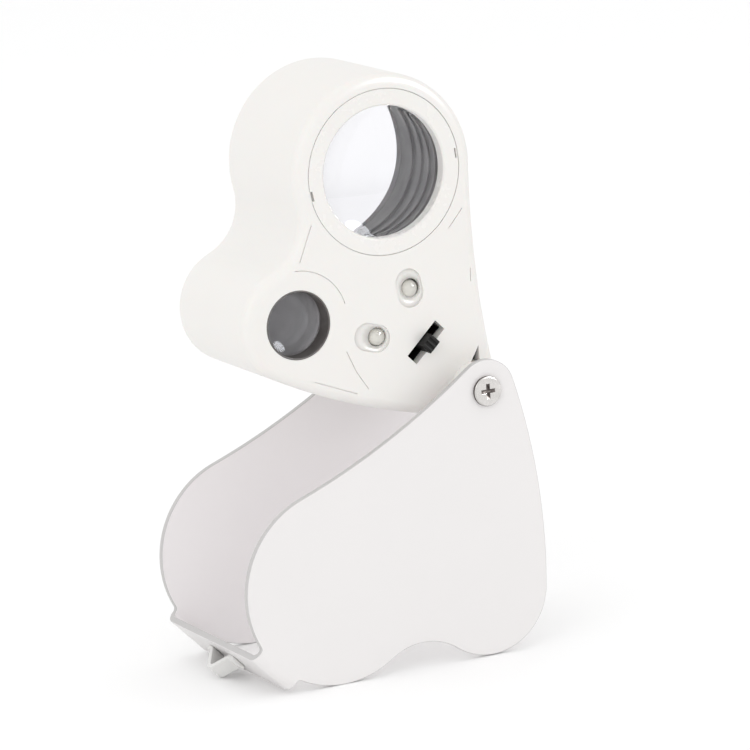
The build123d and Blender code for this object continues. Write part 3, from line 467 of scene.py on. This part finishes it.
LAMP_R, LAMP_LENGTH, LAMP_FLANGE_R, LAMP_FLANGE = 0.0015, 0.0046, 0.00185, 0.0009
LAMP_LEAN = radians(14)
LAMPS = (("large", (-0.0094, 0.0162), (-0.0102, 0.0173), "large_lens_front"),
         ("small", (-0.0150, 0.0099), (-0.0172, 0.0104), "small_lens_front"))
CUP_R, CUP_FLOOR_R, CUP_DEPTH, CUP_TOP = 0.00092, 0.0005, 0.00055, 0.0024
POCKET_W, POCKET_L = 0.00446, 0.00626
WELL_RIM, WELL_FLOOR, WELL_WALL = 0.00045, 0.0012, 0.0003
WELL_LAP, WELL_STEPS = 0.00004, 64         # the dish laps the lamp by this, so no gap shows round it

lamp_resin, tree, shader = finish_of(
    "lamp_resin", base_color=(0.98, 0.965, 0.91, 1), transmission_weight=0.4, ior=1.45)
cast = use(tree, handled, roughness=0.02, spread=0.01, scale=500.0)
feed(tree, shader, rough=cast["Roughness"])

phosphor, tree, shader = finish_of("phosphor", specular_ior_level=0.3, roughness=0.6)
grains = use(tree, uneven, color=(0.93, 0.90, 0.74, 1), other=(0.98, 0.965, 0.87, 1), amount=1.0,
             scale=4000.0)
feed(tree, shader, grains["Color"])

tinned, tree, shader = finish_of("tinned_lead", metallic=1.0)
drawn = use(tree, uneven, color=(0.80, 0.80, 0.79, 1), other=(0.66, 0.66, 0.66, 1), amount=0.8,
            scale=900.0)
touch = use(tree, handled, roughness=0.3, spread=0.1, scale=900.0)
feed(tree, shader, drawn["Color"], touch["Roughness"])


def stood_up(shape, foot, lean_to, lean):
    """Leans a lamp drawn upright at the origin, its tip towards -Y, and puts it on its foot."""
    side = Vector((lean_to.x, 0, lean_to.z)).normalized()
    tip = side * sin(lean) + Vector((0, -cos(lean), 0))
    turn = Vector((0, -1, 0)).rotation_difference(tip).to_matrix().to_4x4()
    bmesh.ops.transform(shape, matrix=Matrix.Translation(foot) @ turn, verts=shape.verts)
    return shape


for name, foot_at, pocket_at, lens in LAMPS:
    node = "led_" + name
    towards = middle(lens) - HINGE - Vector((pocket_at[0], 0, pocket_at[1]))
    tip_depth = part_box(node)[0].y
    foot = HINGE + Vector((foot_at[0], 0, foot_at[1]))
    foot.y = tip_depth + LAMP_R + (LAMP_LENGTH - LAMP_R) * cos(LAMP_LEAN)
    dome = [(LAMP_R * cos(a * pi / 24), -(LAMP_LENGTH - LAMP_R) - LAMP_R * sin(a * pi / 24))
            for a in range(13)]
    dome[-1] = (0, -LAMP_LENGTH)
    body = [(0, 0), (LAMP_FLANGE_R - 0.0001, 0), (LAMP_FLANGE_R, -0.0001),
            (LAMP_FLANGE_R, -LAMP_FLANGE + 0.0001), (LAMP_FLANGE_R - 0.0001, -LAMP_FLANGE),
            (LAMP_R, -LAMP_FLANGE)] + dome
    resin = stood_up(turned(Vector((0, 0, 0)), body, 64), foot, towards, LAMP_LEAN)
    piece("lamp_" + name, resin, lamp_resin, "lens_head", "led_epoxy", node)

    cup = turned(Vector((0, 0, 0)), [
        (CUP_R + 0.00012, -CUP_TOP), (CUP_R, -CUP_TOP), (CUP_FLOOR_R, -CUP_TOP + CUP_DEPTH),
        (0.0001, -CUP_TOP + CUP_DEPTH), (0.0001, -CUP_TOP + CUP_DEPTH + 0.0003),
        (CUP_FLOOR_R + 0.0002, -CUP_TOP + CUP_DEPTH + 0.0003)], 40)
    leads = bmesh.new()
    for side in (-1, 1):
        tall = 0.0021 if side < 0 else 0.0016
        lead = bmesh.ops.create_cube(leads, size=1)["verts"]
        bmesh.ops.scale(leads, vec=(0.0004, tall, 0.0005), verts=lead)
        bmesh.ops.translate(leads, vec=(0, -tall / 2 - 0.0001, side * 0.0008), verts=lead)
    break_edges(leads, 0.00006)
    piece("lamp_leads_" + name, stood_up(leads, foot, towards, LAMP_LEAN), tinned, "lens_head",
          "tinned_wire")
    piece("lamp_cup_" + name, stood_up(cup, foot, towards, LAMP_LEAN), tinned, "lens_head",
          "tinned_wire")
    fill = turned(Vector((0, 0, 0)), [
        (0, -CUP_TOP - 0.00018), (CUP_R * 0.5, -CUP_TOP - 0.00014),
        (CUP_R * 0.98, -CUP_TOP + 0.00002),
        (CUP_FLOOR_R, -CUP_TOP + CUP_DEPTH - 0.00002), (0, -CUP_TOP + CUP_DEPTH - 0.00002)], 40)
    piece("lamp_phosphor_" + name, stood_up(fill, foot, towards, LAMP_LEAN), phosphor, "lens_head",
          "led_epoxy")

    # the pale dish that closes the pocket round the lamp
    face_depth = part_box("large_lens_bezel")[0].y
    side = Vector((towards.x, 0, towards.z)).normalized()
    reach_back = (foot.y - face_depth - WELL_FLOOR) * tan(LAMP_LEAN)
    lamp_here = Vector((foot.x, 0, foot.z)) + side * reach_back
    pocket = HINGE + Vector((pocket_at[0], 0, pocket_at[1]))
    well = bmesh.new()
    rim = bmesh.ops.create_circle(well, radius=POCKET_W / 2, segments=WELL_STEPS)["verts"]
    bmesh.ops.rotate(well, matrix=Matrix.Rotation(pi / WELL_STEPS, 3, "Z"), verts=rim)
    for half in (-1, 1):
        bmesh.ops.translate(well, vec=(half * (POCKET_L - POCKET_W) / 2, 0, 0),
                            verts=[v for v in rim if v.co.x * half > 0])
    turn = Matrix(((side.x, -side.z, 0), (0, 0, 1), (side.z, side.x, 0)))
    bmesh.ops.transform(well, matrix=turn.to_4x4(), verts=rim)
    bmesh.ops.translate(well, vec=(pocket.x, face_depth + WELL_RIM, pocket.z), verts=rim)
    hole = bmesh.ops.create_circle(well, radius=LAMP_R - WELL_LAP, segments=WELL_STEPS)["verts"]
    bmesh.ops.transform(well, matrix=turn.to_4x4(), verts=hole)
    bmesh.ops.translate(well, vec=(lamp_here.x, face_depth + WELL_FLOOR, lamp_here.z), verts=hole)
    bmesh.ops.bridge_loops(well, edges=well.edges[:])
    bmesh.ops.recalc_face_normals(well, faces=well.faces)
    if sum(f.normal.y for f in well.faces) > 0:
        bmesh.ops.reverse_faces(well, faces=well.faces)
    dish = piece("lamp_well_" + name, well, head_plastic, "lens_head", "white_abs")
    wall = dish.modifiers.new("wall", "SOLIDIFY")
    wall.thickness, wall.offset = WELL_WALL, -1
dress("led_leads", tinned)


# ------------------------------------------------------------------ switch
# A black nylon slide switch. Its case sits behind the face; the thumb piece comes out through the
# slot and is grooved across the way it slides.

SLIDE_WAY = Vector(frame["joints"][1]["axis"])
THUMB_L, THUMB_W, THUMB_BREAK, THUMB_GROOVE = 0.0024, 0.0019, 0.00009, 0.00022

switch_nylon, tree, shader = finish_of("switch_nylon", specular_ior_level=0.15)
tone = use(tree, uneven, color=(0.008, 0.008, 0.008, 1), other=(0.016, 0.0155, 0.015, 1), amount=0.8,
           scale=500.0)
edges = use(tree, worn, finish=tone["Color"], bare=(0.05, 0.05, 0.05, 1), reach=0.00015, amount=0.8,
            patch_scale=1500.0)
touch = use(tree, handled, roughness=0.5, spread=0.1, scale=500.0)
skin = use(tree, peel, wave_scale=5000.0, grain_scale=14000.0, depth=0.000002)
feed(tree, shader, edges["Color"], touch["Roughness"], skin["Height"])
dress("switch_case", switch_nylon)

low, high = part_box("switch_slider")
thumb = bmesh.new()
bmesh.ops.create_cube(thumb, size=1)
bmesh.ops.scale(thumb, vec=(THUMB_L, high.y - low.y, THUMB_W), verts=thumb.verts)
for cut in (-0.36, -0.28, -0.06, 0.06, 0.28, 0.36):
    bmesh.ops.bisect_plane(thumb, geom=thumb.verts[:] + thumb.edges[:] + thumb.faces[:],
                           plane_co=(cut * THUMB_L, 0, 0), plane_no=(1, 0, 0))
front_face = min(f.calc_center_median().y for f in thumb.faces)
grooves = [f for f in thumb.faces if f.calc_center_median().y < front_face + 1e-6
           and 0.06 < abs(f.calc_center_median().x / THUMB_L) < 0.28]
sunk = bmesh.ops.extrude_face_region(thumb, geom=grooves)
bmesh.ops.translate(thumb, vec=(0, THUMB_GROOVE, 0),
                    verts=[v for v in sunk["geom"] if isinstance(v, bmesh.types.BMVert)])
bmesh.ops.delete(thumb, geom=grooves, context="FACES")
bmesh.ops.remove_doubles(thumb, verts=thumb.verts, dist=1e-7)
bmesh.ops.recalc_face_normals(thumb, faces=thumb.faces)
break_edges(thumb, THUMB_BREAK)
turn = Vector((1, 0, 0)).rotation_difference(SLIDE_WAY).to_matrix().to_4x4()
bmesh.ops.transform(thumb, matrix=Matrix.Translation((low + high) / 2) @ turn, verts=thumb.verts)
piece("switch_thumb_piece", thumb, switch_nylon, "switch", "switch_black", "switch_slider")


# ------------------------------------------------------------------ hinge
# Nickel plated M2 pan screws with a cross slot go through the cover plates into brass bushes in
# the head; a thin nylon washer keeps each plate off its boss.

SCREW_HEAD_R, CROSS_REACH, CROSS_TAPER, HEAD_BREAK = 0.0024, 0.0013, 0.45, 0.00006
HEAD_TOP, CROSS_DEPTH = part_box("pivot_screws")[1].y, 0.00045


def plated(name, colour, other, bare, rough):
    made, tree, shader = finish_of(name, metallic=1.0)
    tone = use(tree, uneven, color=colour, other=other, amount=0.7, scale=700.0)
    edges = use(tree, worn, finish=tone["Color"], bare=bare, reach=0.0001, amount=0.7,
                patch_scale=1600.0)
    touch = use(tree, handled, roughness=rough, spread=0.1, scale=900.0)
    skin = use(tree, peel, wave_scale=3000.0, grain_scale=9000.0, depth=0.0000012)
    feed(tree, shader, edges["Color"], touch["Roughness"], skin["Height"])
    return made


nickel = plated("nickel_plate", (0.60, 0.585, 0.57, 1), (0.50, 0.485, 0.47, 1),
                (0.74, 0.73, 0.71, 1), 0.28)
# A dark copy of the nickel: painted shade for the cross recess and the side wall of each head.
dulled_nickel = plated("dulled_nickel", (0.13, 0.115, 0.11, 1), (0.20, 0.18, 0.17, 1),
                       (0.30, 0.29, 0.28, 1), 0.5)
shape = copy_of("pivot_screws")
for vert in shape.verts:                          # the cross narrows to its floor
    away = Vector((vert.co.x - HINGE.x, 0, vert.co.z - HINGE.z))
    if away.length < CROSS_REACH and abs(abs(vert.co.y) - (HEAD_TOP - CROSS_DEPTH)) < 0.00002:
        vert.co -= away * CROSS_TAPER
break_edges(shape, HEAD_BREAK)
# The cross recess and the side wall of each head take the dark copy, as painted shade.
for face in shape.faces:
    at = face.calc_center_median()
    away = sqrt((at.x - HINGE.x)**2 + (at.z - HINGE.z)**2)
    if HEAD_TOP - CROSS_DEPTH - 0.00001 < abs(at.y) < HEAD_TOP - 0.00003 and away < CROSS_REACH:
        face.material_index = 1
    if abs(face.normal.y) < 0.5 and away > 0.96 * SCREW_HEAD_R:
        face.material_index = 1
screws = piece("hinge_screws", shape, nickel, "lens_head", "nickel", "pivot_screws")
screws.data.materials.append(dulled_nickel)

brass, tree, shader = finish_of("bush_brass", metallic=1.0)
tone = use(tree, uneven, color=(0.80, 0.62, 0.32, 1), other=(0.66, 0.48, 0.24, 1),
           amount=0.7, scale=500.0)
touch = use(tree, handled, roughness=0.32, spread=0.1, scale=700.0)
feed(tree, shader, tone["Color"], touch["Roughness"])
dress("hinge_bushes", brass)

nylon, tree, shader = finish_of("washer_nylon", subsurface_weight=0.2, subsurface_scale=0.0005)
tone = use(tree, uneven, color=(0.78, 0.77, 0.73, 1), other=(0.72, 0.70, 0.66, 1),
           amount=0.7, scale=400.0)
touch = use(tree, handled, roughness=0.5, spread=0.1, scale=700.0)
feed(tree, shader, tone["Color"], touch["Roughness"])
dress("hinge_washers", nylon)


# ------------------------------------------------------------------ small screws
# Zinc plated self tapping screws hold the lid, the battery door and the circuit board.

zinc, tree, shader = finish_of("zinc_plate", metallic=1.0)
tone = use(tree, uneven, color=(0.62, 0.63, 0.64, 1), other=(0.50, 0.50, 0.50, 1),
           amount=0.8, scale=900.0)
touch = use(tree, handled, roughness=0.3, spread=0.12, scale=900.0)
feed(tree, shader, tone["Color"], touch["Roughness"])
for node in ("rear_cover_screws", "battery_door_screw", "circuit_board_screws"):
    dress(node, zinc)


# ------------------------------------------------------------------ light circuit
# A glass-epoxy board with a white mask carries the lamps and the switch. Three button cells lie
# behind it between a conical spring and the contact strip under the battery door.

board_white, tree, shader = finish_of("board_white", coat_weight=0.4, coat_roughness=0.2)
tone = use(tree, uneven, color=(0.82, 0.80, 0.74, 1), other=(0.74, 0.72, 0.66, 1),
           amount=0.9, scale=600.0)
touch = use(tree, handled, roughness=0.4, spread=0.1, scale=700.0)
feed(tree, shader, tone["Color"], touch["Roughness"])
dress("circuit_board", board_white)

can_steel, tree, shader = finish_of("can_steel", metallic=1.0)
tone = use(tree, uneven, color=(0.72, 0.72, 0.71, 1), other=(0.62, 0.62, 0.61, 1),
           amount=0.8, scale=300.0)
touch = use(tree, handled, roughness=0.22, spread=0.08, scale=500.0)
feed(tree, shader, tone["Color"], touch["Roughness"])
dress("battery_cells", can_steel)

spring_steel, tree, shader = finish_of("spring_steel", metallic=1.0)
tone = use(tree, uneven, color=(0.76, 0.75, 0.72, 1), other=(0.64, 0.62, 0.58, 1),
           amount=0.8, scale=700.0)
touch = use(tree, handled, roughness=0.26, spread=0.1, scale=900.0)
feed(tree, shader, tone["Color"], touch["Roughness"])
for node in ("battery_spring", "battery_contact"):
    dress(node, spring_steel)


# ------------------------------------------------------------------ floor and light
# A plain white table in an evenly lit white studio: a broad light overhead, one softbox at the
# left, one just left of the camera. A round one at the right shows only in what is glossy.

FLOOR_SIDE = 8.0
floor_white, tree, shader = finish_of("floor_white", specular_ior_level=0.2, roughness=0.6)
tone = use(tree, uneven, color=(0.97, 0.97, 0.97, 1), other=(0.96, 0.96, 0.96, 1),
           amount=0.5, scale=4.0)
feed(tree, shader, tone["Color"])
table = bmesh.new()
bmesh.ops.create_grid(table, x_segments=1, y_segments=1, size=FLOOR_SIDE / 2)
mesh = bpy.data.meshes.new("floor")
table.to_mesh(mesh)
table.free()
mesh.materials.append(floor_white)
floor = bpy.data.objects.new("floor", mesh)
bpy.context.scene.collection.objects.link(floor)
floor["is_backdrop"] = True

LIGHTS = (  # name, place, side of the square, watts
    ("overhead", (0.0, 0.1, 1.3), 1.4, 1.8),
    ("left_softbox", (-1.0, -0.7, 0.7), 0.7, 1.8),
    ("front_softbox", (-0.55, -1.2, 0.45), 0.7, 0.5),
    ("right_disc", (0.64, -0.58, 0.55), 0.40, 18.0))
aim = (cad_low + cad_high) / 2
for name, at, side, watts in LIGHTS:
    lamp = bpy.data.lights.new(name, "AREA")
    lamp.shape, lamp.size, lamp.energy = "SQUARE", side, watts
    holder = bpy.data.objects.new(name, lamp)
    holder.location = at
    holder.rotation_mode = "QUATERNION"
    holder.rotation_quaternion = (aim - Vector(at)).to_track_quat("-Z", "Y")
    bpy.context.scene.collection.objects.link(holder)
lamp.shape = "DISK"
holder.visible_diffuse = False

world = bpy.data.worlds.new("studio")
world.use_nodes = True
world.node_tree.nodes["Background"].inputs["Color"].default_value = (1, 1, 1, 1)
world.node_tree.nodes["Background"].inputs["Strength"].default_value = 0.965
bpy.context.scene.world = world
bpy.context.scene.view_settings.view_transform = "Standard"

low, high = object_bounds()
